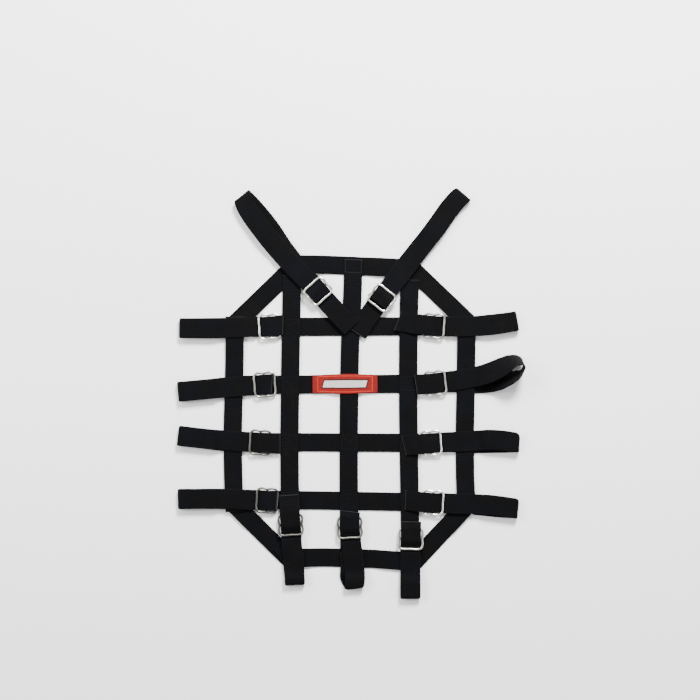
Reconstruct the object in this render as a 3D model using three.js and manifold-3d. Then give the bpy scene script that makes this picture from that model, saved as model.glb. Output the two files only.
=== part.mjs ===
// Roll cage net: flat straps of woven webbing sewn into an eight-sided grid, with thirteen
// adjustable loops round its edge, each locked by a slide of bent wire.
// It lies flat with its outer face up. Millimetres; X to its right, Y towards its shoulder
// loops, Z up from the floor, origin under the middle of its outline.

import * as THREE from 'three';
import { mergeVertices } from 'three/addons/utils/BufferGeometryUtils.js';
import Module from 'manifold-3d';

const wasm = await Module();
wasm.setup();

// Webbing: the grid is of the narrow kind, the loops of the wide kind
const NET_WIDTH = 25;
const LOOP_WIDTH = 27;
const THICKNESS = 1.4;
const GAP = 0.3;
const LAYER = THICKNESS + GAP;

// Wire slides, measured between the middles of the wire
const WIRE = 3;
const SLIDE_WIDTH = 32.3;
const WAIST = 0.9;
const CORNER_INSET = 1.6;
const EDGE_SLIDE = 27.2;
const SHOULDER_SLIDE = 30.4;
const BAR_DROP = 2.7;

// How a loop runs through its slide and folds back at its tip: heights of the centre bar and of
// the two straps over it, heights of the loop at the outer and inner bars, and the lengths in
// which it comes down from an edge strap and climbs on to it
const BAR_RISE = 1.8;
const NET_CROWN = 3.6;
const LOOP_CROWN = 6;
const UNDER_BAR = LAYER + 0.2;
const OVER_BAR = BAR_RISE + BAR_DROP + WIRE / 2 - LAYER / 2 + GAP + 0.15;
const DROP = 7.5;
const CLIMB = 14;

const LABEL_THICKNESS = 1;
const LABEL_WIDTH = 25.6;
const BLACK = 0x17171a;

const group = new THREE.Group();
const UP = new THREE.Vector3(0, 0, 1);

const webbingMaterial = new THREE.MeshStandardMaterial({
  color: BLACK, roughness: 0.88, metalness: 0,
});
const wireMaterial = new THREE.MeshStandardMaterial({
  color: 0xcfcbbd, roughness: 0.28, metalness: 1,
});
const labelMaterial = new THREE.MeshStandardMaterial({
  color: 0xb8322a, roughness: 0.75, metalness: 0,
});

// Height of the middle of a strap that lies on so many others
function onTopOf(layers) {
  return layers * LAYER + THICKNESS / 2;
}

function closed(geometry) {
  geometry.deleteAttribute('normal');
  geometry.deleteAttribute('uv');
  const merged = mergeVertices(geometry, 1e-4);
  merged.computeVertexNormals();
  return merged;
}

function add(name, geometry, material) {
  const mesh = new THREE.Mesh(geometry, material);
  mesh.name = name;
  group.add(mesh);
  return mesh;
}

// A plan line through [x, y] points, asked for by distance from its first point
function planLine(points) {
  const curve = new THREE.CatmullRomCurve3(
    points.map(([x, y]) => new THREE.Vector3(x, y, 0)), false, 'centripetal');
  curve.arcLengthDivisions = 400;
  const length = curve.getLength();
  const share = (d) => THREE.MathUtils.clamp(d / length, 0, 1);
  return {
    length,
    at: (d) => curve.getPointAt(share(d)),
    heading: (d) => curve.getTangentAt(share(d)).setZ(0).normalize(),
    // Distance along the line of the point nearest to [x, y]
    nearest([x, y]) {
      const target = new THREE.Vector3(x, y, 0);
      let best = 0;
      for (let d = 0; d <= length; d += 0.25) {
        if (curve.getPointAt(share(d)).distanceTo(target)
          < curve.getPointAt(share(best)).distanceTo(target)) best = d;
      }
      return best;
    },
  };
}

// Heights keyed by distance, eased from one key to the next and sampled every few millimetres
function sampleHeights(keys, step = 3.4) {
  const samples = [];
  for (let i = 0; i < keys.length - 1; i += 1) {
    const [d0, z0] = keys[i];
    const [d1, z1] = keys[i + 1];
    const span = d1 - d0;
    const count = z0 === z1 ? Math.ceil(span / 60) : Math.max(2, Math.ceil(span / step));
    for (let k = 0; k < count; k += 1) {
      const t = k / count;
      samples.push([d0 + span * t, z0 + (z1 - z0) * (1 - Math.cos(Math.PI * t)) / 2]);
    }
  }
  samples.push(keys.at(-1));
  return samples;
}

// One station of a strap: the middle of the webbing and the direction of its width
function station(line, d, z) {
  const middle = line.at(d).setZ(z);
  const across = new THREE.Vector3().crossVectors(UP, line.heading(d));
  return { middle, across };
}

// Bends a flat box of webbing along its stations; a slant leads one corner of an end ahead
function webbing(stations, width, thickness, { startSlant = 0, endSlant = 0 } = {}) {
  const count = stations.length - 1;
  const box = new THREE.BoxGeometry(count, width, thickness, count, 1, 1);
  const position = box.attributes.position;
  const along = stations.map((s, i) => new THREE.Vector3().subVectors(
    stations[Math.min(i + 1, count)].middle, stations[Math.max(i - 1, 0)].middle).normalize());
  const slants = stations.map(() => 0);
  slants[0] = startSlant;
  slants[count] = endSlant;
  for (let v = 0; v < position.count; v += 1) {
    const i = Math.round(position.getX(v) + count / 2);
    const side = position.getY(v);
    const { middle, across } = stations[i];
    const normal = new THREE.Vector3().crossVectors(along[i], across).normalize();
    const point = middle.clone()
      .addScaledVector(across, side)
      .addScaledVector(normal, position.getZ(v))
      .addScaledVector(along[i], slants[i] * side / width);
    position.setXYZ(v, point.x, point.y, point.z);
  }
  return closed(box);
}

// Grid straps
// Each is cut straight and sewn where it crosses another. `over` lists stretches of the strap
// by distance: [distance, number of straps below it there].

function netStrap(name, points, over, cut) {
  const line = planLine(points);
  const keys = over.map(([d, layers]) => [d < 0 ? line.length + d : d, onTopOf(layers)]);
  const all = [[0, keys[0][1]], ...keys, [line.length, keys.at(-1)[1]]];
  const stations = sampleHeights(all).map(([d, z]) => station(line, d, z));
  add(name, webbing(stations, NET_WIDTH, THICKNESS, cut), webbingMaterial);
}

// A strap that threads slides: it rises over each centre bar and bends along that bar's line
function threadedStrap(name, points, base, loops) {
  const line = planLine(points);
  const low = onTopOf(base);
  const half = EDGE_SLIDE / 2;
  const bars = loops.map(({ tip, upper, bar }) => {
    const loopLine = planLine([tip, ...upper]);
    const across = new THREE.Vector3().crossVectors(UP, loopLine.heading(loopLine.nearest(bar)));
    return { at: line.nearest(bar), across };
  });
  const keys = [[0, low]];
  for (const { at } of bars) keys.push([at - half, low], [at, low + NET_CROWN], [at + half, low]);
  keys.push([line.length, low]);
  const stations = sampleHeights(keys).map(([d, z]) => {
    const plain = station(line, d, z);
    const bar = bars.find(({ at }) => Math.abs(d - at) < half + 1);
    if (bar) plain.across = bar.across.clone().multiplyScalar(Math.sign(bar.across.dot(plain.across)));
    return plain;
  });
  add(name, webbing(stations, NET_WIDTH, THICKNESS), webbingMaterial);
}

// Loops
// Columns: tip of the fold; upper and lower, the plan points of the two runs from the tip
// inwards; bar, the centre bar of the slide; base, straps under the grid strap at the slide;
// from and to, the distances from the tip where the upper run lies over the edge strap; over,
// straps below the upper run there; under, straps below the lower run there; fold, the radius
// of the tip; rest, the height at which the tail ends; slant, the lead of the tail's cut.
const LOOPS = [
  { name: 'loop_left_1', tip: [-229.9, 88.0], bar: [-108.9, 90.2], base: 0, from: 58, to: 87,
    upper: [[-182.7, 87.6], [-148.9, 89.4], [-108.9, 90.2], [-90.6, 92.2]],
    lower: [[-196.2, 87.7], [-168.4, 88.6]], over: 3, under: 0, fold: 3.6, rest: 5.4, slant: 4 },
  { name: 'loop_left_2', tip: [-231.9, 2.2], bar: [-115.4, 12.0], base: 0, from: 60, to: 89,
    upper: [[-182.7, 6.8], [-148.9, 9.7], [-115.4, 12.0], [-105.2, 13.0]],
    lower: [[-196.2, 5.4], [-168.4, 8.4]], over: 2, under: 0, fold: 3.8, rest: 6.4, slant: 5 },
  { name: 'loop_left_3', tip: [-231.7, -56.8], bar: [-121.3, -66.0], base: 0, from: 60, to: 90,
    upper: [[-196.2, -60.6], [-155.7, -64.3], [-121.3, -66.0], [-94.2, -68.0]],
    lower: [[-196.2, -61.4], [-170.0, -64.6]], over: 2, under: 0, fold: 3.5, rest: 4.9, slant: -2 },
  { name: 'loop_left_4', tip: [-231.8, -142.3], bar: [-112.4, -144.0], base: 0, from: 60, to: 89,
    upper: [[-196.2, -141.2], [-155.7, -142.2], [-112.4, -144.0], [-98.6, -144.8]],
    lower: [[-196.2, -141.5], [-168.6, -142.6]], over: 3, under: 0, fold: 3.7, rest: 6.3, slant: 1 },
  { name: 'loop_right_1', tip: [224.8, 97.7], bar: [112.5, 91.0], base: 0, from: 54, to: 84,
    upper: [[195.3, 92.7], [161.6, 90.6], [112.5, 91.0], [63.6, 97.6]],
    lower: [[195.3, 92.6], [167.2, 90.6]], over: 3, under: 0, fold: 3.7, rest: 4.1, slant: 6 },
  { name: 'loop_right_3', tip: [227.5, -66.0], bar: [108.2, -66.8], base: 0, from: 57, to: 88,
    upper: [[195.3, -61.6], [161.6, -64.2], [108.2, -66.8], [71.8, -70.4]],
    lower: [[195.3, -67.4], [166.0, -67.2]], over: 2, under: 0, fold: 4, rest: 4.1, slant: -3 },
  { name: 'loop_right_4', tip: [225.8, -155.0], bar: [110.9, -147.2], base: 0, from: 55, to: 86,
    upper: [[195.3, -150.4], [161.6, -148.6], [110.9, -147.2], [73.7, -143.8]],
    lower: [[195.3, -154.2], [168.0, -150.6]], over: 3, under: 0, fold: 3.8, rest: 4.1, slant: -2 },
  { name: 'loop_bottom_1', tip: [-74.4, -257.6], bar: [-80.3, -176.6], base: 1, from: 21, to: 56,
    upper: [[-75.6, -232.0], [-78.8, -202.0], [-80.3, -176.6], [-83.0, -136.6]],
    lower: [[-77.0, -228.0], [-80.0, -199.5]], over: 3, under: 2, fold: 4, rest: 4.1, slant: 0 },
  { name: 'loop_bottom_2', tip: [7.0, -262.9], bar: [-0.8, -180.4], base: 1, from: 25, to: 50,
    upper: [[5.4, -232.0], [1.6, -205.0], [-0.8, -180.4], [-0.5, -158.4]],
    lower: [[2.0, -238.4], [-0.8, -212.8]], over: 3, under: 2, fold: 4.2, rest: 6.0, slant: 3 },
  { name: 'loop_bottom_3', tip: [80.9, -276.0], bar: [81.3, -195.4], base: 1, from: 35, to: 61.5,
    upper: [[80.9, -245.0], [80.9, -225.0], [81.3, -195.4], [82.0, -172.3]],
    lower: [[80.9, -245.0], [80.9, -215.6]], over: 3, under: 2, fold: 4.2, rest: 6.0, slant: 0 },
];

// The two shoulder loops are long straps: their lower run goes on through the slide and is
// sewn over the crossing of the first row and the centre upright. Columns as above, with anchor
// for the straps below that sewn end.
const SHOULDERS = [
  { name: 'shoulder_left', tip: [-144.8, 264.4], bar: [-44.6, 138.8], from: 88, anchor: 3,
    upper: [[-138.6, 247.0], [-126.2, 229.6], [-90.7, 186.2], [-44.6, 138.8], [-38.4, 131.4]],
    lower: [[-115.4, 232.1], [-87.7, 191.2], [-44.6, 138.8], [-18.0, 109.2], [2.4, 88.6]] },
  { name: 'shoulder_right', tip: [150.2, 265.7], bar: [44.1, 131.0], from: 90, anchor: 2,
    upper: [[143.7, 261.1], [113.2, 220.6], [90.4, 190.9], [44.1, 131.0], [38.0, 123.4]],
    lower: [[143.7, 260.6], [113.2, 219.8], [89.4, 190.6], [44.1, 131.0], [25.0, 104.6], [9.0, 80.7]] },
];

// The turn at a loop's tip, from the top of the lower run round to the bottom of the upper
function foldStations(upper, lower, fold, z, turns = 7) {
  const stations = [];
  for (let k = 1; k < turns; k += 1) {
    const t = k / turns;
    const angle = Math.PI * (t - 0.5);
    const below = lower.at(fold);
    const above = upper.at(fold);
    const heading = lower.heading(fold).lerp(upper.heading(fold), t).normalize();
    const middle = below.lerp(above, t).addScaledVector(heading, -fold * Math.cos(angle));
    middle.z = z + fold + fold * Math.sin(angle);
    stations.push({ middle, across: new THREE.Vector3().crossVectors(UP, heading) });
  }
  return stations;
}

function runStations(line, keys) {
  return sampleHeights(keys).map(([d, z]) => station(line, d, z));
}

function edgeLoop(loop) {
  const upper = planLine([loop.tip, ...loop.upper]);
  const lower = planLine([loop.tip, ...loop.lower]);
  const half = EDGE_SLIDE / 2;
  const floor = onTopOf(0);
  const bar = upper.nearest(loop.bar);
  const outer = bar - half;
  const base = loop.base * LAYER;
  const top = floor + 2 * loop.fold;
  const end = lower.length;
  const climb = Math.max(loop.fold + 3, loop.from - CLIMB);
  const lowerKeys = loop.under === 0
    ? [[loop.fold, floor], [end, floor]]
    : [[loop.fold, floor], [climb, floor], [loop.from, onTopOf(loop.under)], [end, onTopOf(loop.under)]];
  const upperKeys = [
    [loop.fold, top],
    [climb, top],
    [loop.from, onTopOf(loop.over)],
    [Math.max(loop.to, outer - DROP), onTopOf(loop.over)],
    [outer, base + floor + UNDER_BAR],
    [bar, base + floor + LOOP_CROWN],
  ];
  if (upper.length > bar + half) {
    upperKeys.push([bar + half, base + floor + OVER_BAR], [upper.length, loop.rest]);
  } else {
    upperKeys.push([upper.length, base + loop.rest]);
  }
  const stations = [
    ...runStations(lower, lowerKeys).reverse(),
    ...foldStations(upper, lower, loop.fold, floor),
    ...runStations(upper, upperKeys),
  ];
  const cut = { endSlant: loop.slant };
  add(loop.name, webbing(stations, LOOP_WIDTH, THICKNESS, cut), webbingMaterial);
  addSlide(loop.name.replace('loop', 'slide'), upper, bar, base, EDGE_SLIDE);
}

function shoulderLoop(loop) {
  const upper = planLine([loop.tip, ...loop.upper]);
  const lower = planLine([loop.tip, ...loop.lower]);
  const half = SHOULDER_SLIDE / 2;
  const fold = 3.6;
  const floor = onTopOf(0);
  const base = 2 * LAYER;
  const bar = lower.nearest(loop.bar);
  const upperBar = upper.nearest(loop.bar);
  const lowerKeys = [
    [fold, floor],
    [loop.from - 2 * CLIMB, floor],
    [loop.from - 2, onTopOf(2)],
    [bar - half, onTopOf(2)],
    [bar, onTopOf(2) + NET_CROWN],
    [bar + half, onTopOf(2)],
    [bar + half + CLIMB, onTopOf(loop.anchor)],
    [lower.length, onTopOf(loop.anchor)],
  ];
  const upperKeys = [
    [fold, floor + 2 * fold],
    [loop.from - 2 * CLIMB, floor + 2 * fold],
    [loop.from - 2, onTopOf(3)],
    [upperBar - half, base + floor + UNDER_BAR],
    [upperBar, base + floor + LOOP_CROWN],
    [upper.length, base + floor + LOOP_CROWN - 0.6],
  ];
  const stations = [
    ...runStations(lower, lowerKeys).reverse(),
    ...foldStations(upper, lower, fold, floor),
    ...runStations(upper, upperKeys),
  ];
  add(loop.name, webbing(stations, LOOP_WIDTH, THICKNESS), webbingMaterial);
  addSlide(loop.name.replace('shoulder', 'slide_shoulder'), upper, upperBar, base, SHOULDER_SLIDE);
}

// The second right loop stands open and twisted, its tip leaning on one edge of the webbing.
// Columns: x, y and height of the middle of the webbing, and the lean of its width in degrees.
const OPEN_LOOP = {
  name: 'loop_right_2',
  bar: [114.4, 14.0],
  tip: [168.5, 22.4],
  upper: [[148.0, 18.6], [114.4, 14.0], [100.8, 12.8], [88.0, 11.8]],
  twist: [
    { x: 166.0, y: 13.6, z: 0.7, lean: 0 },
    { x: 180.0, y: 13.9, z: 1.2, lean: 1 },
    { x: 191.0, y: 15.2, z: 2.9, lean: 7 },
    { x: 202.0, y: 17.2, z: 6.5, lean: 23 },
    { x: 212.0, y: 20.0, z: 10.2, lean: 42 },
    { x: 221.0, y: 23.6, z: 12.5, lean: 56 },
    { x: 229.0, y: 28.8, z: 14.2, lean: 64 },
    { x: 232.8, y: 36.0, z: 16.0, lean: 68 },
    { x: 230.6, y: 42.6, z: 18.0, lean: 66 },
    { x: 222.0, y: 44.8, z: 19.0, lean: 58 },
    { x: 213.0, y: 41.8, z: 18.6, lean: 40 },
    { x: 203.0, y: 36.2, z: 17.2, lean: 20 },
    { x: 191.0, y: 30.2, z: 14.2, lean: 8 },
    { x: 178.0, y: 25.2, z: 9.4, lean: 2 },
    { x: 168.5, y: 22.4, z: 5.2, lean: 0 },
  ],
};

function openLoop({ name, bar, tip, upper, twist }) {
  const line = planLine([tip, ...upper]);
  const middle = line.nearest(bar);
  const half = EDGE_SLIDE / 2;
  const keys = [
    [7, onTopOf(2)],
    [line.nearest([140, 17]), onTopOf(2)],
    [middle - half, onTopOf(0) + UNDER_BAR],
    [middle, onTopOf(0) + LOOP_CROWN],
    [middle + half, onTopOf(0) + OVER_BAR],
    [line.length, 6.4],
  ];
  const curve = new THREE.CatmullRomCurve3(
    twist.map(({ x, y, z }) => new THREE.Vector3(x, y, z)), false, 'centripetal');
  const twisted = [];
  const steps = 2 * (twist.length - 1);
  for (let k = 0; k < steps; k += 1) {
    const t = k / steps;
    const i = Math.floor(k / 2);
    const lean = THREE.MathUtils.degToRad(
      THREE.MathUtils.lerp(twist[i].lean, twist[i + 1].lean, k / 2 - i));
    const tangent = curve.getTangent(t);
    const across = new THREE.Vector3(0, -Math.cos(lean), Math.sin(lean));
    across.addScaledVector(tangent, -across.dot(tangent)).normalize();
    twisted.push({ middle: curve.getPoint(t), across });
  }
  const stations = [...twisted, ...runStations(line, keys)];
  add(name, webbing(stations, LOOP_WIDTH, THICKNESS, { endSlant: -2 }), webbingMaterial);
  addSlide('slide_right_2', line, middle, 0, EDGE_SLIDE);
}

// Slides
// A closed frame of round wire, waisted at its middle, with a straight centre bar of the same
// wire welded under it. One bar of the frame crosses over the loop, the other over the grid
// strap, so the frame tilts by the thickness of one strap.

function ringOutline(length) {
  const x = length / 2;
  const y = SLIDE_WIDTH / 2;
  const quarter = [[x, 0.7 * y], [x - CORNER_INSET, y - CORNER_INSET], [0.55 * x, y]];
  const turned = (sx, sy) => quarter.map(([px, py]) => [sx * px, sy * py]);
  const points = [
    [x, 0], ...turned(1, 1), [0, y - WAIST], ...turned(-1, 1).reverse(),
    [-x, 0], ...turned(-1, -1), [0, WAIST - y], ...turned(1, -1).reverse(),
  ];
  return new THREE.CatmullRomCurve3(
    points.map(([px, py]) => new THREE.Vector3(px, py, 0)), true, 'centripetal');
}

function manifoldOf(geometry) {
  const merged = closed(geometry);
  return new wasm.Manifold(new wasm.Mesh({
    numProp: 3,
    vertProperties: new Float32Array(merged.attributes.position.array),
    triVerts: new Uint32Array(merged.index.array),
  }));
}

function slideGeometry(length) {
  const steps = 32;
  const radius = 10;
  const outline = ringOutline(length);
  const frame = new THREE.TorusGeometry(radius, WIRE / 2, 6, steps);
  const position = frame.attributes.position;
  for (let v = 0; v < position.count; v += 1) {
    const x = position.getX(v);
    const y = position.getY(v);
    const turn = (Math.atan2(y, x) / (2 * Math.PI) + 1) % 1;
    const t = Math.round(turn * steps) / steps;
    const middle = outline.getPoint(t % 1);
    const outward = outline.getTangent(t % 1).cross(UP).normalize();
    const point = middle.addScaledVector(outward, Math.hypot(x, y) - radius);
    position.setXYZ(v, point.x, point.y, position.getZ(v));
  }
  const bar = new THREE.CylinderGeometry(WIRE / 2, WIRE / 2, SLIDE_WIDTH - 2 * WAIST, 8, 1);
  bar.translate(0, 0, -BAR_DROP);
  const joined = manifoldOf(frame).add(manifoldOf(bar));
  const mesh = joined.getMesh();
  const geometry = new THREE.BufferGeometry();
  geometry.setAttribute('position', new THREE.BufferAttribute(mesh.vertProperties, 3));
  geometry.setIndex(new THREE.BufferAttribute(mesh.triVerts, 1));
  geometry.computeVertexNormals();
  return geometry;
}

const slideGeometries = new Map(
  [EDGE_SLIDE, SHOULDER_SLIDE].map((length) => [length, slideGeometry(length)]));

function addSlide(name, line, distance, base, length) {
  const mesh = add(name, slideGeometries.get(length), wireMaterial);
  const heading = line.heading(distance);
  mesh.position.copy(line.at(distance)).setZ(base + BAR_RISE + BAR_DROP);
  mesh.rotation.set(0, Math.asin(LAYER / length), Math.atan2(heading.y, heading.x), 'ZYX');
}

const loopNamed = (name) => [...LOOPS, OPEN_LOOP].find((loop) => loop.name === name);

// Rows, from the left side strap to the right one
threadedStrap('row_1', [[-166.5, 89.3], [-0.4, 90.1], [164.3, 90.8]], 0,
  [loopNamed('loop_left_1'), loopNamed('loop_right_1')]);
threadedStrap('row_2', [[-166.5, 11.6], [-0.4, 12.3], [164.3, 14.2]], 0,
  [loopNamed('loop_left_2'), loopNamed('loop_right_2')]);
threadedStrap('row_3', [[-166.5, -65.4], [-0.4, -66.3], [164.3, -67.1]], 0,
  [loopNamed('loop_left_3'), loopNamed('loop_right_3')]);
threadedStrap('row_4', [[-166.5, -142.8], [-0.4, -145.1], [164.3, -148.3]], 0,
  [loopNamed('loop_left_4'), loopNamed('loop_right_4')]);

// Side straps: over the diagonals at their ends, over the rows between
netStrap('side_left',
  [[-155.8, 103.8], [-155.9, 55.9], [-157.7, -19.7], [-158.5, -89.9], [-155.7, -159.4]],
  [[34, 2], [58, 1], [217, 1], [237, 2]]);
netStrap('side_right',
  [[156.6, 103.8], [156.1, 42.4], [155.0, -29.2], [154.3, -89.9], [156.7, -158.8]],
  [[34, 2], [58, 1], [217, 1], [237, 2]]);

// Uprights, from the top band to the bottom band
threadedStrap('upright_left',
  [[-78.7, 159.4], [-79.2, 119.3], [-80.6, 51.8], [-81.5, -22.4], [-82.1, -89.9], [-81.1, -143.9],
    [-80.3, -206.0]], 1, [loopNamed('loop_bottom_1')]);
threadedStrap('upright_centre',
  [[4.3, 180.8], [3.0, 132.8], [-0.5, 58.6], [-1.6, -15.7], [-2.2, -89.9], [-1.6, -157.4],
    [-0.9, -224.9]], 1, [loopNamed('loop_bottom_2')]);
threadedStrap('upright_right',
  [[80.5, 153.4], [79.2, 119.3], [78.2, 51.8], [78.2, -15.7], [79.0, -83.2], [80.1, -150.7],
    [81.0, -211.6]], 1, [loopNamed('loop_bottom_3')]);

// Bands: over the diagonals at both ends
netStrap('top_band', [[-92.9, 173.9], [-40.9, 173.7], [19.8, 171.3], [88.7, 168.1]],
  [[42, 1], [68, 0], [-74, 0], [-48, 1]], { startSlant: -20, endSlant: 16 });
netStrap('bottom_band', [[-94.9, -222.1], [-34.2, -221.4], [29.3, -223.2], [90.0, -227.2]],
  [[32, 1], [56, 0], [-62, 0], [-38, 1]], { startSlant: -15.5 });

// Diagonals: under the bands, over the row ends
netStrap('diagonal_top_left', [[-82.8, 164.4], [-159.0, 90.5]], [[54, 0], [74, 1]]);
netStrap('diagonal_top_right', [[84.6, 166.6], [159.6, 94.6]], [[54, 0], [74, 1]]);
netStrap('diagonal_bottom_left', [[-158.4, -147.2], [-119.4, -186.4], [-81.4, -223.6]],
  [[28, 1], [48, 0]]);
netStrap('diagonal_bottom_right', [[154.8, -153.4], [84.6, -228.6]], [[28, 1], [48, 0]]);

LOOPS.forEach(edgeLoop);
openLoop(OPEN_LOOP);
SHOULDERS.forEach(shoulderLoop);

// Label: a woven patch sewn over the second row, bulging where it passes over the upright
const labelLine = planLine([[-51.0, 12.6], [36.7, 13.2]]);
const onRow = LAYER + LABEL_THICKNESS / 2;
const labelStations = sampleHeights([
  [0, onRow], [18, onRow], [34, onRow + LAYER], [65, onRow + LAYER], [80, onRow],
  [labelLine.length, onRow],
]).map(([d, z]) => station(labelLine, d, z));
add('label', webbing(labelStations, LABEL_WIDTH, LABEL_THICKNESS), labelMaterial);

export default group;
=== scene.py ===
# A roll cage net: black woven webbing sewn into a grid, with straps round its edge whose ends
# fold into loops and lock in wire slides. It lies flat and is seen from straight above.
# Metres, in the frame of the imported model.

import math

import bmesh
import bpy
import numpy as np
from mathutils import Matrix, Vector


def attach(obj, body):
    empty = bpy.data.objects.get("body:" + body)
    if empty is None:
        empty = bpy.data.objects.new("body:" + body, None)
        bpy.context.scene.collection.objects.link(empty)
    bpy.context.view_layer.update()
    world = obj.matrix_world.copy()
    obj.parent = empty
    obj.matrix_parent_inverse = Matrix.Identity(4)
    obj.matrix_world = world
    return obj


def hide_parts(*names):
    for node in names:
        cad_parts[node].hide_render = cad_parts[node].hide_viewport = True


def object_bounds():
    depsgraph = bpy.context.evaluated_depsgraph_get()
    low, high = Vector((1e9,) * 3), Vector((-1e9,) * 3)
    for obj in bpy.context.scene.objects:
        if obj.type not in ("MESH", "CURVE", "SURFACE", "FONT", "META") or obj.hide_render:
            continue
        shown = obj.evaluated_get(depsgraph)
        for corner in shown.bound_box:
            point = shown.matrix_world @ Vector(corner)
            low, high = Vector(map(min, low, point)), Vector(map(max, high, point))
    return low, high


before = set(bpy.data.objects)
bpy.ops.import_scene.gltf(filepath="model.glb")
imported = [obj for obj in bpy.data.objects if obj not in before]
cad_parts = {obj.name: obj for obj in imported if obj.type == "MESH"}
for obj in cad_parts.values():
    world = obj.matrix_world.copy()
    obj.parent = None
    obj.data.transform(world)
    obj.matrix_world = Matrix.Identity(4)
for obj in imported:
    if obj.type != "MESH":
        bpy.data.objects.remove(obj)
cad_low, cad_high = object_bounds()
scene = bpy.context.scene

# Table and light
# A plain pale table top, lit softly from above like a product picture, with the camera
# looking straight down.
TABLE_SIZE = 12.0
TABLE_GAP = 0.0003
VIEW_CENTRE = Vector((-0.0004, 0.0586, 0.0))
VIEW_HEIGHT = 2.0
VIEW_WIDTH = 0.945
SENSOR = 36.0


def plain_material(name, colour, roughness):
    material = bpy.data.materials.new(name)
    material.use_nodes = True
    shader = material.node_tree.nodes["Principled BSDF"]
    shader.inputs["Base Color"].default_value = (*colour, 1)
    shader.inputs["Roughness"].default_value = roughness
    return material, material.node_tree, shader


def object_from(bm, name, *materials):
    mesh = bpy.data.meshes.new(name)
    bm.to_mesh(mesh)
    bm.free()
    piece = bpy.data.objects.new(name, mesh)
    scene.collection.objects.link(piece)
    for material in materials:
        mesh.materials.append(material)
    return piece


bm = bmesh.new()
bmesh.ops.create_grid(bm, x_segments=4, y_segments=4, size=TABLE_SIZE / 2)
bmesh.ops.translate(bm, verts=bm.verts, vec=(0, 0, cad_low.z - TABLE_GAP))
table_paint, _, table_shader = plain_material("table_top", (0.92, 0.92, 0.92), 0.6)
table_shader.inputs["Specular IOR Level"].default_value = 0.2
table = object_from(bm, "table_top", table_paint)

camera = bpy.data.objects.new("camera", bpy.data.cameras.new("camera"))
camera.location = VIEW_CENTRE + Vector((0, 0, VIEW_HEIGHT))
camera.data.sensor_width = SENSOR
camera.data.lens = SENSOR * VIEW_HEIGHT / VIEW_WIDTH
scene.collection.objects.link(camera)
scene.camera = camera

# Columns: name, place, size and power of a square lamp that faces the net
LAMPS = [
    ("lamp_high", (0.45, 1.5, 1.25), 0.6, 145),
    ("lamp_left", (-1.4, 0.3, 1.05), 0.45, 22),
    ("lamp_back", (-1.0, 1.15, 1.1), 0.4, 16),
    ("lamp_right", (1.5, -0.1, 1.0), 0.5, 9),
]
for name, place, size, power in LAMPS:
    lamp = bpy.data.objects.new(name, bpy.data.lights.new(name, "AREA"))
    lamp.data.size = size
    lamp.data.energy = power
    lamp.location = place
    lamp.rotation_euler = (-Vector(place)).to_track_quat("-Z", "Y").to_euler()
    scene.collection.objects.link(lamp)

world = bpy.data.worlds.new("studio")
world.use_nodes = True
world.node_tree.nodes["Background"].inputs["Color"].default_value = (1.0, 1.0, 1.0, 1)
world.node_tree.nodes["Background"].inputs["Strength"].default_value = 0.62
scene.world = world

# Grid straps
# Fifteen lengths of 25 mm polyester webbing, woven with ribs across their width and rounded
# edges: rows, uprights, side straps, bands and corner straps, sewn where they cross.
NET_WIDTH = 0.025
THICKNESS = 0.0014
RIB = 0.0031
RIB_HEIGHT = 0.00009
SELVEDGE = 0.0022
COLUMNS = 4
TIP_REACH = 0.016
TIP_RUN = 50
SWAY_REACH = 0.016
STAND_REACH = 0.009


def mix(tree, factor, first, second):
    """A colour between two others, each a colour or a socket."""
    node = tree.nodes.new("ShaderNodeMix")
    node.data_type = "RGBA"
    tree.links.new(factor, node.inputs["Factor"])
    for socket, value in ((node.inputs["A"], first), (node.inputs["B"], second)):
        if isinstance(value, tuple):
            socket.default_value = (*value, 1)
        else:
            tree.links.new(value, socket)
    return node.outputs["Result"]


def maths(tree, operation, *values):
    """The result of a Math node on numbers or sockets."""
    node = tree.nodes.new("ShaderNodeMath")
    node.operation = operation
    for socket, value in zip(node.inputs, values):
        if isinstance(value, (int, float)):
            socket.default_value = value
        else:
            tree.links.new(value, socket)
    return node.outputs["Value"]


def noise(tree, vector, scale, detail=2.0):
    node = tree.nodes.new("ShaderNodeTexNoise")
    node.inputs["Scale"].default_value = scale
    node.inputs["Detail"].default_value = detail
    tree.links.new(vector, node.inputs["Vector"])
    return node.outputs["Fac"]


def steps(tree, value, low, high):
    """0 below low, 1 above high, straight between."""
    node = tree.nodes.new("ShaderNodeMapRange")
    node.inputs["From Min"].default_value = low
    node.inputs["From Max"].default_value = high
    tree.links.new(value, node.inputs["Value"])
    return node.outputs["Result"]


def woven_coordinates(tree):
    """Along the strap, across it and the distance from its cut end, in metres."""
    attribute = tree.nodes.new("ShaderNodeAttribute")
    attribute.attribute_name = "weave"
    parts = tree.nodes.new("ShaderNodeSeparateXYZ")
    tree.links.new(attribute.outputs["Vector"], parts.inputs["Vector"])
    return attribute.outputs["Vector"], parts.outputs["X"], parts.outputs["Y"], parts.outputs["Z"]


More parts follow.
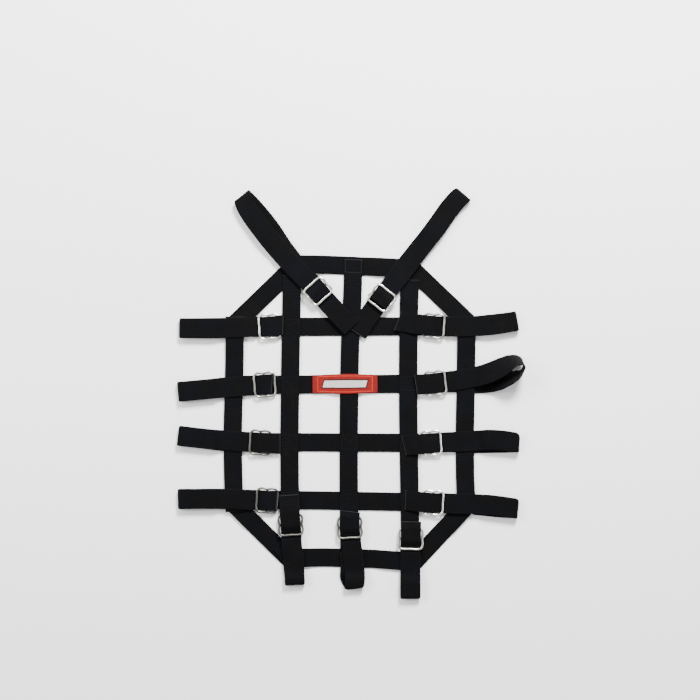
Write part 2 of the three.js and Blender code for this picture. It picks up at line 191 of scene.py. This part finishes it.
def webbing_material(name, width, melted):
    black = (0.0011, 0.0011, 0.0014)
    blue = (0.0010, 0.0014, 0.0025)
    brown = (0.0023, 0.0017, 0.0014)
    pale_wear_and_highlight = (0.0060, 0.0060, 0.0072)
    fleck = (0.020, 0.019, 0.018)
    yarn = 0.00062
    material, tree, shader = plain_material(name, black, 0.8)
    shader.inputs["Sheen Weight"].default_value = 0.02
    shader.inputs["Sheen Roughness"].default_value = 0.45
    shader.inputs["Specular IOR Level"].default_value = 0.06
    vector, along, across, to_end = woven_coordinates(tree)
    along = maths(tree, "ADD", along, maths(tree, "MULTIPLY", noise(tree, vector, 120), 0.0022))
    # Warp yarns run along the strap and step from rib to rib, so they read as a fine twill
    lean = maths(tree, "MULTIPLY", along, 2 * math.pi / (2 * RIB))
    warp = maths(tree, "MULTIPLY", across, 2 * math.pi / yarn)
    twill = maths(tree, "SINE", maths(tree, "ADD", warp, lean))
    rib = maths(tree, "COSINE", maths(tree, "MULTIPLY", along, 2 * math.pi / RIB))
    loose = noise(tree, vector, 2600, 3)
    patches = steps(tree, noise(tree, vector, 48, 3), 0.38, 0.66)
    firm = maths(tree, "ADD", maths(tree, "MULTIPLY", patches, 1.1), 0.1)
    height = maths(tree, "ADD", maths(tree, "MULTIPLY", twill, 0.2), maths(tree, "MULTIPLY", rib, firm))
    height = maths(tree, "ADD", height, maths(tree, "MULTIPLY", loose, 0.7))
    bump = tree.nodes.new("ShaderNodeBump")
    bump.inputs["Strength"].default_value = 0.9
    bump.inputs["Distance"].default_value = 0.00018
    tree.links.new(height, bump.inputs["Height"])
    tree.links.new(bump.outputs["Normal"], shader.inputs["Normal"])
    # The dye leans to blue or brown in places. Rib crowns are painted a little paler as a highlight on
    # the ribs, and the edges are worn a little paler
    place = tree.nodes.new("ShaderNodeTexCoord").outputs["Object"]
    colour = mix(tree, steps(tree, noise(tree, place, 22), 0.45, 0.68), black, blue)
    colour = mix(tree, steps(tree, noise(tree, place, 31), 0.55, 0.75), colour, brown)
    # Painted highlight: the crowns of the ribs get a paler colour, standing in for light catching them
    painted_crown_highlight = steps(tree, rib, 0.1, 1.0)
    edge = steps(tree, maths(tree, "ABSOLUTE", across), width / 2 - SELVEDGE, width / 2)
    wear_and_painted_light = maths(tree, "MULTIPLY", maths(tree, "ADD", painted_crown_highlight, edge), patches)
    wear_and_painted_light = maths(tree, "MULTIPLY", wear_and_painted_light, 0.2)
    colour = mix(tree, wear_and_painted_light, colour, pale_wear_and_highlight)
    flecks = steps(tree, noise(tree, vector, 900, 4), 0.69, 0.75)
    colour = mix(tree, flecks, colour, fleck)
    cut = steps(tree, to_end, 0.0012, 0.0004)
    tree.links.new(mix(tree, cut, colour, melted), shader.inputs["Base Color"])
    rough = maths(tree, "SUBTRACT", 0.86, maths(tree, "MULTIPLY", cut, 0.35))
    tree.links.new(rough, shader.inputs["Roughness"])
    return material


def smooth_through(at, values, wanted):
    """Values at wanted distances on a smooth line that never swings past its own points."""
    gaps = np.diff(at)[:, None]
    rises = np.diff(values, axis=0) / gaps
    slopes = np.zeros_like(values)
    slopes[0], slopes[-1] = rises[0], rises[-1]
    same = rises[:-1] * rises[1:] > 0
    first, second = np.where(same, rises[:-1], 1), np.where(same, rises[1:], 1)
    before, after = 2 * gaps[1:] + gaps[:-1], gaps[1:] + 2 * gaps[:-1]
    slopes[1:-1] = np.where(same, (before + after) / (before / first + after / second), 0)
    i = np.clip(np.searchsorted(at, wanted, side="right") - 1, 0, len(at) - 2)
    t = ((wanted - at[i]) / gaps[i, 0])[:, None]
    return (
        values[i] * (1 + 2 * t) * (1 - t) ** 2
        + slopes[i] * gaps[i] * t * (1 - t) ** 2
        + values[i + 1] * t * t * (3 - 2 * t)
        - slopes[i + 1] * gaps[i] * t * t * (1 - t)
    )


def strap_edges(node, width, thickness):
    """The two edges of a strap, end to end: the middles of the short lines through its solid."""
    bm = bmesh.new()
    bm.from_mesh(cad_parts[node].data)
    bmesh.ops.remove_doubles(bm, verts=bm.verts[:], dist=1e-5)
    near = [e for e in bm.edges if abs(e.calc_length() - thickness) < 0.004 * thickness]
    near.sort(key=lambda e: (e.calc_face_angle(0) > 1, abs(e.calc_length() - thickness)))
    through, middles = {}, []
    for e in near:
        if not any(v in through for v in e.verts):
            for v in e.verts:
                through[v] = len(middles)
            middles.append((e.verts[0].co + e.verts[1].co) / 2)
    beside = {i: set() for i in range(len(middles))}
    for f in bm.faces:
        ends = {through[v] for v in f.verts}
        if len(ends) == 2:
            for i in ends:
                beside[i] |= ends - {i}
    ring = [0, min(beside[0])]
    while len(ring) < len(middles):
        ring.append(next(i for i in beside[ring[-1]] if i != ring[-2]))
    bm.free()
    half = len(ring) // 2
    points = np.array([middles[i] for i in ring])

    def opposite(start):
        turned = np.roll(points, -start, axis=0)
        return turned[:half], turned[half:][::-1]

    def unevenness(start):
        left, right = opposite(start)
        return np.median(abs(np.linalg.norm(left - right, axis=1) - width))

    return opposite(min(range(half), key=unevenness))


def unit(vectors):
    return vectors / np.linalg.norm(vectors, axis=-1, keepdims=True)


class Strap:
    """A strap's stations, read from its solid: middle, width direction and face direction."""

    def __init__(self, node, width, thickness, tail_inwards=True, tail_more=0.0):
        left, right = strap_edges(node, width, thickness)
        middle = (left + right) / 2
        far = np.linalg.norm(middle[:, :2], axis=1)
        if (far[0] < far[-1]) == tail_inwards:
            left, right, middle = left[::-1], right[::-1], middle[::-1]
        along = np.gradient(middle, axis=0)
        if np.cross(along[-1], left[-1] - right[-1])[2] < 0:
            left, right = right, left
        across = unit(left - right)
        self.node, self.width, self.thickness = node, width, thickness
        self.ends = {}
        for end, inner, more in ((0, 1, 0.0), (-1, -2, tail_more)):
            out = unit(middle[end] - middle[inner])
            self.ends[end] = (left[end] + out * more, right[end] + out * more)
            middle[end] += out * more
            across[end] = unit(across[inner] - out * np.dot(across[inner], out))
        self.at = np.concatenate([[0], np.cumsum(np.linalg.norm(np.diff(middle, axis=0), axis=1))])
        self.length = self.at[-1]
        self.middle, self.across = middle, across

    def stations(self, wanted):
        """Middles, width directions and face directions at some distances."""
        inside = np.clip(wanted, 0, self.length)
        middle = smooth_through(self.at, self.middle, inside)
        across = unit(smooth_through(self.at, self.across, inside))
        probe = np.clip(inside, 1e-4, self.length - 1e-4)
        along = unit(
            smooth_through(self.at, self.middle, probe + 1e-4)
            - smooth_through(self.at, self.middle, probe - 1e-4)
        )
        middle = middle + along * (wanted - inside)[:, None]
        return middle, across, unit(np.cross(along, across))

    def surface(self, distance, side, face=1):
        """A point on a face of the strap, with the directions along, across and out there."""
        middle, across, out = self.stations(np.array([distance]))
        point = middle[0] + across[0] * side + out[0] * face * self.thickness / 2
        along = np.cross(across[0], out[0])
        return Vector(point), Vector(along), Vector(across[0]), Vector(out[0] * face)

    def nearest(self, other):
        """Distance along this strap of the place where it crosses another, in plan."""
        wanted = np.linspace(0, self.length, 400)
        mine = self.stations(wanted)[0][:, None, :2]
        theirs = other.stations(np.linspace(0, other.length, 400))[0][None, :, :2]
        return wanted[np.linalg.norm(mine - theirs, axis=2).min(axis=1).argmin()]


def strap_section(width, thickness):
    """The outline of the webbing's section: flat faces, a thinner selvedge and round edges."""
    half, thin = width / 2, 0.72 * thickness / 2
    top = [(half * (1 - 2 * k / COLUMNS), thickness / 2) for k in range(1, COLUMNS)]
    edge = [
        (half - 0.0028, thickness / 2), (half - 0.0009, 0.90 * thickness / 2),
        (half - 0.00025, thin), (half, thin * 0.35),
    ]
    upper = [*edge[::-1], *top, *[(-side, height) for side, height in edge]]
    lower = [(-side, -height) for side, height in upper]
    return upper + lower


def cut_end(bm, weave, strap, end, pale):
    """Cuts a strap end along its slanted line, and measures how far from it the rest lies."""
    left, right = strap.ends[end]
    middle = (left + right) / 2
    at = 0.0 if end == 0 else strap.length
    normal = np.cross(right - left, strap.stations(np.array([at]))[2][0])
    if np.dot(normal, middle - strap.middle[1 if end == 0 else -2]) < 0:
        normal = -normal
    normal = unit(normal)
    close = [f for f in bm.faces if abs(f.verts[0][weave].x - at) < 1.2 * strap.width]
    shape = {*close, *(e for f in close for e in f.edges), *(v for f in close for v in f.verts)}
    bmesh.ops.bisect_plane(
        bm, geom=list(shape), plane_co=middle, plane_no=normal, clear_outer=True, dist=1e-7)
    for v in bm.verts:
        if pale and abs(v[weave].x - at) < 1.2 * strap.width:
            v[weave].z = min(v[weave].z, np.dot(middle - v.co, normal))


def webbing(
    strap, material, name, step=RIB / 4, rib=RIB_HEIGHT, pale=(-1,),
    corners=(0.0, 0.0), longer=(0.0, 0.0), sway=0.0, stand=0.0, bulge=0.0,
):
    """Rolls a grid into a closed strip of webbing and bends it along its strap. A folded strip
    is drawn in at its tip's corners; it may sway or stand on edge just before the tip."""
    section = strap_section(strap.width, strap.thickness)
    spare = strap.width
    count = int(round((strap.length + 2 * spare) / step))
    wanted = np.linspace(-spare, strap.length + spare, count + 1)
    middle, across, out = strap.stations(wanted)
    peak = np.linalg.norm(middle[:, :2], axis=1).argmax()
    tip = wanted[peak]
    middle[:, 0] -= sway * np.exp(-(((wanted - tip) / SWAY_REACH + 1.1) ** 2))
    if stand:
        across[:, :2] *= 1 - stand * np.exp(-(((wanted - tip) / STAND_REACH + 0.65) ** 2))[:, None]
        across = unit(across)
        out = unit(np.cross(np.gradient(middle, axis=0), across))
    ahead = unit(out[peak] * (1, 1, 0)) if any(corners) else None
    run = unit((middle[peak] - middle[peak - TIP_RUN]) * (1, 1, 0))
    bm = bmesh.new()
    weave = bm.verts.layers.float_vector.new("weave")
    bmesh.ops.create_grid(bm, x_segments=count, y_segments=len(section), size=0.5)
    for v in bm.verts:
        i = round((v.co.x + 0.5) * count)
        side, height = section[round((v.co.y + 0.5) * len(section)) % len(section)]
        if abs(side) < strap.width / 2 - 0.0008:
            groove = rib * (1 - math.cos(2 * math.pi * wanted[i] / RIB))
            height -= math.copysign(groove, height)
        wide = 1 - bulge * math.cos(2 * math.pi * wanted[i] / strap.length)
        place = middle[i] + across[i] * side * wide + out[i] * height
        corner = corners[0] if side > 0 else corners[1]
        if corner:
            behind = max(0.0, np.dot(middle[peak] - place, ahead) + strap.thickness / 2)
            into = min(1.0, max(0.0, 1 - (strap.width / 2 - abs(side)) / corner))
            drawn = corner * (1 - math.sqrt(1 - into * into))
            more = longer[1] + (longer[0] - longer[1]) * (side / strap.width + 0.5)
            place = place - ahead * drawn * max(0.0, 1 - behind / TIP_REACH)
            place = place + run * more * max(0.0, 1 - behind / (3 * TIP_REACH)) ** 2
        v.co = place
        v[weave] = (wanted[i], side, 1.0)
    bmesh.ops.remove_doubles(bm, verts=bm.verts[:], dist=1e-5)
    for end in (0, -1):
        cut_end(bm, weave, strap, end, end in pale)
    for f in bm.faces:
        f.smooth = True
    open_edges = [e for e in bm.edges if e.is_boundary]
    bmesh.ops.holes_fill(bm, edges=open_edges, sides=0)
    bmesh.ops.recalc_face_normals(bm, faces=bm.faces[:])
    piece = object_from(bm, name, material)
    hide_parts(strap.node)
    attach(piece, "root")
    return piece


net_webbing = webbing_material("net_webbing", NET_WIDTH, (0.0060, 0.0060, 0.0065))
# Columns: strap, and what it lies on
GRID = {
    "row_1": ["table_top"], "row_2": ["table_top"], "row_3": ["table_top"], "row_4": ["table_top"],
    "diagonal_top_left": ["table_top"], "diagonal_top_right": ["table_top"],
    "diagonal_bottom_left": ["table_top"], "diagonal_bottom_right": ["table_top"],
    "top_band": ["table_top", "diagonal_top_left", "diagonal_top_right"],
    "bottom_band": ["table_top", "diagonal_bottom_left", "diagonal_bottom_right"],
    "side_left": ["row_1", "row_2", "row_3", "row_4"],
    "side_right": ["row_1", "row_2", "row_3", "row_4"],
    "upright_left": ["row_1", "row_2", "row_3", "row_4"],
    "upright_centre": ["row_1", "row_2", "row_3", "row_4", "top_band", "bottom_band"],
    "upright_right": ["row_1", "row_2", "row_3", "row_4"],
}
straps = {}
for node, below in GRID.items():
    straps[node] = Strap(node, NET_WIDTH, THICKNESS)
    piece = webbing(straps[node], net_webbing, node + "_webbing")

# Edge loops
# Eleven lengths of 27 mm webbing, one end sewn to the net's edge. Each folds back at its tip
# and its free end, cut with a hot knife, runs through the wire slide on the grid strap.
LOOP_WIDTH = 0.027
loop_webbing = webbing_material("loop_webbing", LOOP_WIDTH, (0.013, 0.013, 0.0125))
LOOPS = {
    **{f"loop_left_{n}": ["side_left", f"slide_left_{n}"] for n in (1, 2, 3, 4)},
    **{f"loop_right_{n}": ["side_right", f"slide_right_{n}"] for n in (1, 2, 3, 4)},
    **{f"loop_bottom_{n}": ["bottom_band", f"slide_bottom_{n}"] for n in (1, 2, 3)},
}
SHAPES = {
    "loop_bottom_2": {"corners": (0.0048, 0.0048), "sway": 0.004},
    "loop_right_2": {"stand": 0.8},
    "loop_right_3": {"corners": (0.0012, 0.0070)},
    "loop_right_4": {"corners": (0.0012, 0.0045)},
}
for node, below in LOOPS.items():
    straps[node] = Strap(node, LOOP_WIDTH, THICKNESS)
    shape = SHAPES.get(node, {"corners": (0.0015, 0.0015)})
    piece = webbing(straps[node], loop_webbing, node + "_webbing", **shape)

# Shoulder straps
# Two longer straps of the same wide webbing, sewn where the top row and the middle upright
# cross. They pass out over the top band, fold back and lock in slides of their own.
# Columns: strap, slide, ends with a pale cut, rounding of the tip, how much longer each edge is
for node, slide, pale, corner, longer in (
    ("shoulder_left", "slide_shoulder_left", (), 0.0022, (0.0044, 0.0)),
    ("shoulder_right", "slide_shoulder_right", (0,), 0.0016, (0.0075, 0.0)),
):
    straps[node] = Strap(node, LOOP_WIDTH, THICKNESS, tail_inwards=False, tail_more=0.0023)
    piece = webbing(
        straps[node], loop_webbing, node + "_webbing",
        pale=pale, corners=(corner, corner), longer=longer)

# Wire slides
# Eleven adjusters bent from 3 mm steel wire: a waisted frame with rounded corners, its ends
# butted together, and a centre bar welded under it. Nickel plated with random dull patches;
# each slide's plating is also painted darker or brighter as a whole, standing in for how much
# light it reflects.
WIRE = 0.003
SLIDE_WIDTH = 0.0323
WAIST = 0.0009
CORNER_INSET = 0.0016
BAR_DROP = 0.0027
EDGE_SLIDE = 0.0272


def nickel_material():
    bright = (0.86, 0.845, 0.775)
    dull_and_shaded = (0.14, 0.135, 0.122)
    material, tree, shader = plain_material("nickel_wire", bright, 0.2)
    shader.inputs["Metallic"].default_value = 1.0
    place = tree.nodes.new("ShaderNodeTexCoord").outputs["Object"]
    # Painted shade: each slide's value darkens the plating colour, or brightens it below zero, standing
    # in for how much light it reflects; random patches add dull wear on top
    painted_reflection_shade = tree.nodes.new("ShaderNodeAttribute")
    painted_reflection_shade.attribute_name = "painted_reflection_shade"
    patches = maths(tree, "SUBTRACT", noise(tree, place, 160, 4), 0.5)
    wear_and_painted_light = maths(tree, "ADD", painted_reflection_shade.outputs["Fac"], maths(tree, "MULTIPLY", patches, 0.8))
    wear_and_painted_light = steps(tree, wear_and_painted_light, 0.0, 1.0)
    grain = noise(tree, place, 2400, 3)
    tree.links.new(mix(tree, wear_and_painted_light, bright, dull_and_shaded), shader.inputs["Base Color"])
    rough = maths(tree, "ADD", 0.17, maths(tree, "MULTIPLY", maths(tree, "ADD", wear_and_painted_light, grain), 0.13))
    tree.links.new(rough, shader.inputs["Roughness"])
    bump = tree.nodes.new("ShaderNodeBump")
    bump.inputs["Strength"].default_value = 0.25
    bump.inputs["Distance"].default_value = 0.00005
    tree.links.new(grain, bump.inputs["Height"])
    tree.links.new(bump.outputs["Normal"], shader.inputs["Normal"])
    return material


def slide_outline(length, count):
    """Points and outward directions round the middle line of a slide's frame."""
    x, y = length / 2, SLIDE_WIDTH / 2
    quarter = np.array([(x, 0.7 * y), (x - CORNER_INSET, y - CORNER_INSET), (0.55 * x, y)])
    corners = np.concatenate([
        [(x, 0)], quarter, [(0, y - WAIST)], (quarter * (-1, 1))[::-1],
        [(-x, 0)], quarter * (-1, -1), [(0, WAIST - y)], (quarter * (1, -1))[::-1],
    ])
    ringed = np.concatenate([corners[-3:], corners, corners[:4]])
    knots = np.concatenate([[0], np.cumsum(np.linalg.norm(np.diff(ringed, axis=0), axis=1) ** 0.5)])
    start, stop = knots[3], knots[3 + len(corners)]
    wanted = np.linspace(start, stop, count, endpoint=False)
    i = np.searchsorted(knots, wanted, side="right") - 1
    p = [ringed[i + k] for k in (-1, 0, 1, 2)]
    k0, k1, k2, k3 = (knots[i + k] for k in (-1, 0, 1, 2))

    def blend(a, b, ka, kb):
        share = ((wanted - ka) / (kb - ka))[:, None]
        return a * (1 - share) + b * share

    a1, a2, a3 = blend(p[0], p[1], k0, k1), blend(p[1], p[2], k1, k2), blend(p[2], p[3], k2, k3)
    b1, b2 = blend(a1, a2, k0, k2), blend(a2, a3, k1, k3)
    points = blend(b1, b2, k1, k2)
    tangents = unit(np.roll(points, -1, axis=0) - np.roll(points, 1, axis=0))
    return points, np.stack([tangents[:, 1], -tangents[:, 0]], axis=1)


def slide_place(node):
    """Where a slide lies and how it is turned, from the balance of its solid's corners."""
    corners = np.unique(np.round([v.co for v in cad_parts[node].data.vertices], 7), axis=0)
    centre = corners.mean(axis=0)
    _, axes = np.linalg.eigh(np.cov((corners - centre).T))
    up, length, width = axes[:, 0], axes[:, 1], axes[:, 2]
    up = up * np.sign(up[2])
    width = np.cross(up, length)
    local = (corners - centre) @ np.stack([length, width, up], axis=1)
    if np.ptp(local[:, 0]) > np.ptp(local[:, 1]):
        length, width = width, -length
        local = (corners - centre) @ np.stack([length, width, up], axis=1)
    middle = (local.min(axis=0) + local.max(axis=0)) / 2
    middle[2] = local[:, 2].max() - WIRE / 2 * math.sin(math.pi / 3)
    place = centre + np.stack([length, width, up], axis=1) @ middle
    matrix = Matrix(np.stack([length, width, up], axis=1).tolist()).to_4x4()
    matrix.translation = place
    return matrix


def wire_slide(name, node, length, wire, reflection_dimming, inwards=0.0, lift=0.0):
    """A slide on the place of its solid, or moved inwards along its strap and up from there."""
    around, count = 14, 144
    points, outward = slide_outline(length, count)
    bm = bmesh.new()
    bmesh.ops.create_grid(bm, x_segments=count, y_segments=around, size=0.5)
    for v in bm.verts:
        i = round((v.co.x + 0.5) * count) % count
        turn = 2 * math.pi * (v.co.y + 0.5)
        x, y = points[i] + outward[i] * math.cos(turn) * wire / 2
        v.co = (x, y, math.sin(turn) * wire / 2)
    bmesh.ops.remove_doubles(bm, verts=bm.verts[:], dist=1e-6)
    # The centre bar, with a bead of weld where each end meets the frame
    reach = SLIDE_WIDTH / 2 - WAIST
    sideways = Matrix.Rotation(math.pi / 2, 4, "X")
    bmesh.ops.create_cone(
        bm, cap_ends=True, segments=around, radius1=wire / 2, radius2=wire / 2, depth=2 * reach,
        matrix=Matrix.Translation((0, 0, -BAR_DROP)) @ sideways)
    for side in (-1, 1):
        bead = Matrix.Translation((0, side * (reach - 0.0002), -BAR_DROP * 0.52))
        bmesh.ops.create_uvsphere(
            bm, u_segments=12, v_segments=8, radius=1,
            matrix=bead @ Matrix.Diagonal((0.00175, 0.0011, 0.0017, 1)))
    # The butt joint of the wire, a slightly raised seam at one side of the frame
    joint = Matrix.Translation((length * 0.2, -SLIDE_WIDTH / 2 + 0.0003, 0))
    bmesh.ops.create_cone(
        bm, cap_ends=True, segments=around, radius1=wire * 0.515, radius2=wire * 0.515,
        depth=0.0004, matrix=joint @ Matrix.Rotation(math.pi / 2, 4, "Y"))
    for f in bm.faces:
        f.smooth = len(f.verts) < 5
    bmesh.ops.recalc_face_normals(bm, faces=bm.faces[:])
    place = slide_place(node)
    outwards = math.copysign(1, place.col[0].xyz.dot(place.translation))
    place = place @ Matrix.Translation((-outwards * inwards, 0, lift))
    bmesh.ops.transform(bm, verts=bm.verts[:], matrix=place)
    # Each slide's painted reflection shade, stored on its vertices
    painted_reflection_shade = bm.verts.layers.float.new("painted_reflection_shade")
    for v in bm.verts:
        v[painted_reflection_shade] = reflection_dimming
    piece = object_from(bm, name, nickel)
    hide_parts(node)
    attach(piece, "root")


nickel = nickel_material()
# Slide, and how much its plating is painted darker to stand in for a weaker reflection (below zero,
# painted brighter)
SLIDES = {
    "slide_left_1": -0.4, "slide_left_2": 0.75, "slide_left_3": 1.1, "slide_left_4": 1.1,
    "slide_right_1": 0.75, "slide_right_2": 0.6, "slide_right_3": 0.0, "slide_right_4": 0.0,
    "slide_bottom_1": 1.1, "slide_bottom_2": 0.95, "slide_bottom_3": 0.5,
}
for node, reflection_dimming in SLIDES.items():
    wire_slide(node + "_wire", node, EDGE_SLIDE, WIRE, reflection_dimming)

# Shoulder slides
# Two slides bent in the same way from slightly heavier plated wire. Each locks the folded end
# of one shoulder strap.
SHOULDER_SLIDE = 0.0258
SHOULDER_WIRE = 0.0033
SHOULDER_LIFT = 0.0009
# Columns: slide, how much its plating is painted darker for a weaker reflection, how far in along its
# strap it sits
for node, reflection_dimming, inwards in (
    ("slide_shoulder_left", -0.4, 0.00165),
    ("slide_shoulder_right", 0.0, 0.00315),
):
    wire_slide(node + "_wire", node, SHOULDER_SLIDE, SHOULDER_WIRE, reflection_dimming, inwards, SHOULDER_LIFT)

# Stitching
# Every crossing is sewn with a square of heavy black thread and a cross through it. The
# stitches sink a little into the webbing and show on both faces.
STITCH = 0.0024
STITCH_PITCH = 0.0037
THREAD = 0.00042
SQUARE = 0.0096


def thread_material(name, colour):
    material, tree, shader = plain_material(name, colour, 0.7)
    shader.inputs["Specular IOR Level"].default_value = 0.1
    place = tree.nodes.new("ShaderNodeTexCoord").outputs["Object"]
    twist = noise(tree, place, 3200, 2)
    paler = tuple(c * 2.0 for c in colour)
    tree.links.new(mix(tree, steps(tree, twist, 0.45, 0.7), colour, paler), shader.inputs["Base Color"])
    bump = tree.nodes.new("ShaderNodeBump")
    bump.inputs["Strength"].default_value = 0.5
    bump.inputs["Distance"].default_value = 0.00008
    tree.links.new(twist, bump.inputs["Height"])
    tree.links.new(bump.outputs["Normal"], shader.inputs["Normal"])
    return material


def single_stitch():
    bm = bmesh.new()
    bmesh.ops.create_uvsphere(bm, u_segments=6, v_segments=5, radius=1)
    shape = Matrix.Diagonal((THREAD * 0.8, THREAD, STITCH / 2, 1))
    bmesh.ops.transform(bm, verts=bm.verts[:], matrix=Matrix.Rotation(math.pi / 2, 4, "Y") @ shape)
    for f in bm.faces:
        f.smooth = True
    mesh = bpy.data.meshes.new("stitch")
    bm.to_mesh(mesh)
    bm.free()
    return mesh


def stitch_line(bm, strap, start, stop, face=1):
    """A row of stitches on a strap, from one (distance, side) to another."""
    start, stop = Vector(start), Vector(stop)
    count = max(1, round((stop - start).length / STITCH_PITCH))
    run = (stop - start).normalized()
    for k in range(count):
        distance, side = start.lerp(stop, (k + 0.5) / count)
        point, along, across, out = strap.surface(distance, side, face)
        heading = (along * run.x + across * run.y).normalized()
        place = Matrix((heading, out.cross(heading), out)).transposed().to_4x4()
        place.translation = point + out * THREAD * (0.15 if face > 0 else -0.35)
        stitch.transform(place)
        bm.from_mesh(stitch)
        stitch.transform(place.inverted())


def stitch_square(bm, strap, distance, along=SQUARE, across=SQUARE, face=1, crossed=True):
    corners = [(distance - along, -across), (distance + along, -across),
               (distance + along, across), (distance - along, across)]
    for start, stop in zip(corners, corners[1:] + corners[:1]):
        stitch_line(bm, strap, start, stop, face)
    if crossed:
        stitch_line(bm, strap, corners[0], corners[2], face)
        stitch_line(bm, strap, corners[1], corners[3], face)


stitch = single_stitch()
black_thread = thread_material("black_thread", (0.0030, 0.0030, 0.0034))
bm = bmesh.new()
rows = [straps[f"row_{n}"] for n in (1, 2, 3, 4)]
uprights = [straps[f"upright_{side}"] for side in ("left", "centre", "right")]
for upright in uprights:
    for row in rows:
        stitch_square(bm, upright, upright.nearest(row))
        stitch_square(bm, row, row.nearest(upright), face=-1)
for side in ("left", "right"):
    for row in rows:
        edge = straps[f"side_{side}"]
        stitch_square(bm, edge, edge.nearest(row))
        stitch_square(bm, row, row.nearest(edge), face=-1, along=SQUARE * 0.9)
stitches = object_from(bm, "grid_stitching", black_thread)
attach(stitches, "root")

# Band and anchor stitching
# The bands are sewn over the corner straps and under the middle upright, and the shoulder
# straps are sewn down together at the middle of the top row.
bm = bmesh.new()
centre = straps["upright_centre"]
for band, corners in (("top_band", "diagonal_top"), ("bottom_band", "diagonal_bottom")):
    if band == "bottom_band":
        stitch_square(bm, centre, centre.nearest(straps[band]), SQUARE * 0.8, SQUARE)
    stitch_square(bm, straps[band], straps[band].nearest(centre), SQUARE, SQUARE * 0.8, face=-1)
    for side in ("left", "right"):
        diagonal = straps[f"{corners}_{side}"]
        end = straps[band].nearest(diagonal)
        end = min(max(end, 0.014), straps[band].length - 0.014)
        stitch_square(bm, straps[band], end)
for side in ("left", "right"):
    anchor = straps[f"shoulder_{side}"]
    stitch_square(bm, anchor, 0.013)
stitches = object_from(bm, "band_stitching", black_thread)
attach(stitches, "root")

# Top end of the middle upright
# It is sewn to the top band with a wider square of worn thread, whose stitches show as small
# grey dashes.
worn_thread = thread_material("worn_thread", (0.013, 0.013, 0.0125))
bm = bmesh.new()
stitch_square(bm, centre, centre.nearest(straps["top_band"]), 0.0086, 0.0108, crossed=False)
stitches = object_from(bm, "top_stitching", worn_thread)
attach(stitches, "root")

# Label
# A patch of red woven tape with a turned border, sewn down flat over the second row and
# bulging where it passes over the middle upright. Its face carries one plain pale stripe.
LABEL_WIDTH = 0.0256
LABEL_THICKNESS = 0.001


def label_material(length):
    red = (0.175, 0.0022, 0.0016)
    deep = (0.100, 0.0015, 0.0012)
    folded = (0.150, 0.0040, 0.0028)
    orange = (0.34, 0.024, 0.007)
    pale = (0.42, 0.39, 0.37)
    thread = 0.00045
    material, tree, shader = plain_material("red_label", red, 0.62)
    shader.inputs["Specular IOR Level"].default_value = 0.15
    vector, along, across, _ = woven_coordinates(tree)
    weft = maths(tree, "SINE", maths(tree, "MULTIPLY", across, 2 * math.pi / thread))
    warp = maths(tree, "SINE", maths(tree, "MULTIPLY", along, 2 * math.pi / thread))
    bump = tree.nodes.new("ShaderNodeBump")
    bump.inputs["Strength"].default_value = 0.5
    bump.inputs["Distance"].default_value = 0.0001
    tree.links.new(maths(tree, "MULTIPLY", weft, warp), bump.inputs["Height"])
    tree.links.new(bump.outputs["Normal"], shader.inputs["Normal"])
    from_middle = maths(tree, "ABSOLUTE", maths(tree, "SUBTRACT", along, length / 2))
    from_end = maths(tree, "SUBTRACT", length / 2, from_middle)
    from_side = maths(tree, "SUBTRACT", LABEL_WIDTH / 2, maths(tree, "ABSOLUTE", across))
    # A woven line frames the field between the two folded ends
    inside = maths(tree, "MINIMUM", maths(tree, "SUBTRACT", from_end, 0.0070),
                   maths(tree, "SUBTRACT", from_side, 0.0024))
    patches = steps(tree, noise(tree, vector, 140, 3), 0.35, 0.7)
    colour = mix(tree, maths(tree, "GREATER_THAN", inside, 0.0), folded, red)
    colour = mix(tree, maths(tree, "MULTIPLY", patches, 0.6), colour, deep)
    colour = mix(tree, maths(tree, "LESS_THAN", maths(tree, "ABSOLUTE", inside), 0.0006), colour, orange)
    # A plain pale stripe with a dark outline and slanting ends
    slanted = maths(tree, "SUBTRACT", along, maths(tree, "MULTIPLY", across, 0.25))
    slanted = maths(tree, "ABSOLUTE", maths(tree, "SUBTRACT", slanted, length / 2))
    stripe = maths(tree, "MAXIMUM", maths(tree, "SUBTRACT", slanted, 0.0290),
                   maths(tree, "SUBTRACT", maths(tree, "ABSOLUTE", across), 0.0046))
    colour = mix(tree, maths(tree, "LESS_THAN", stripe, 0.0017), colour, (0.018, 0.004, 0.004))
    colour = mix(tree, maths(tree, "LESS_THAN", stripe, 0.0), colour, pale)
    tree.links.new(colour, shader.inputs["Base Color"])
    return material


label = Strap("label", LABEL_WIDTH, LABEL_THICKNESS)
patch = webbing(label, label_material(label.length), "label_patch", step=0.0008, rib=0.0, bulge=0.045)
red_thread = thread_material("red_thread", (0.16, 0.012, 0.010))
bm = bmesh.new()
inset = 0.0013
side = LABEL_WIDTH / 2 - inset
for start, stop in (
    ((inset, -side), (label.length - inset, -side)),
    ((inset, side), (label.length - inset, side)),
    ((0.0075, -side), (0.0075, side)),
    ((label.length - 0.0085, -side), (label.length - 0.0085, side)),
):
    stitch_line(bm, label, start, stop)
stitches = object_from(bm, "label_stitching", red_thread)
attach(stitches, "root")
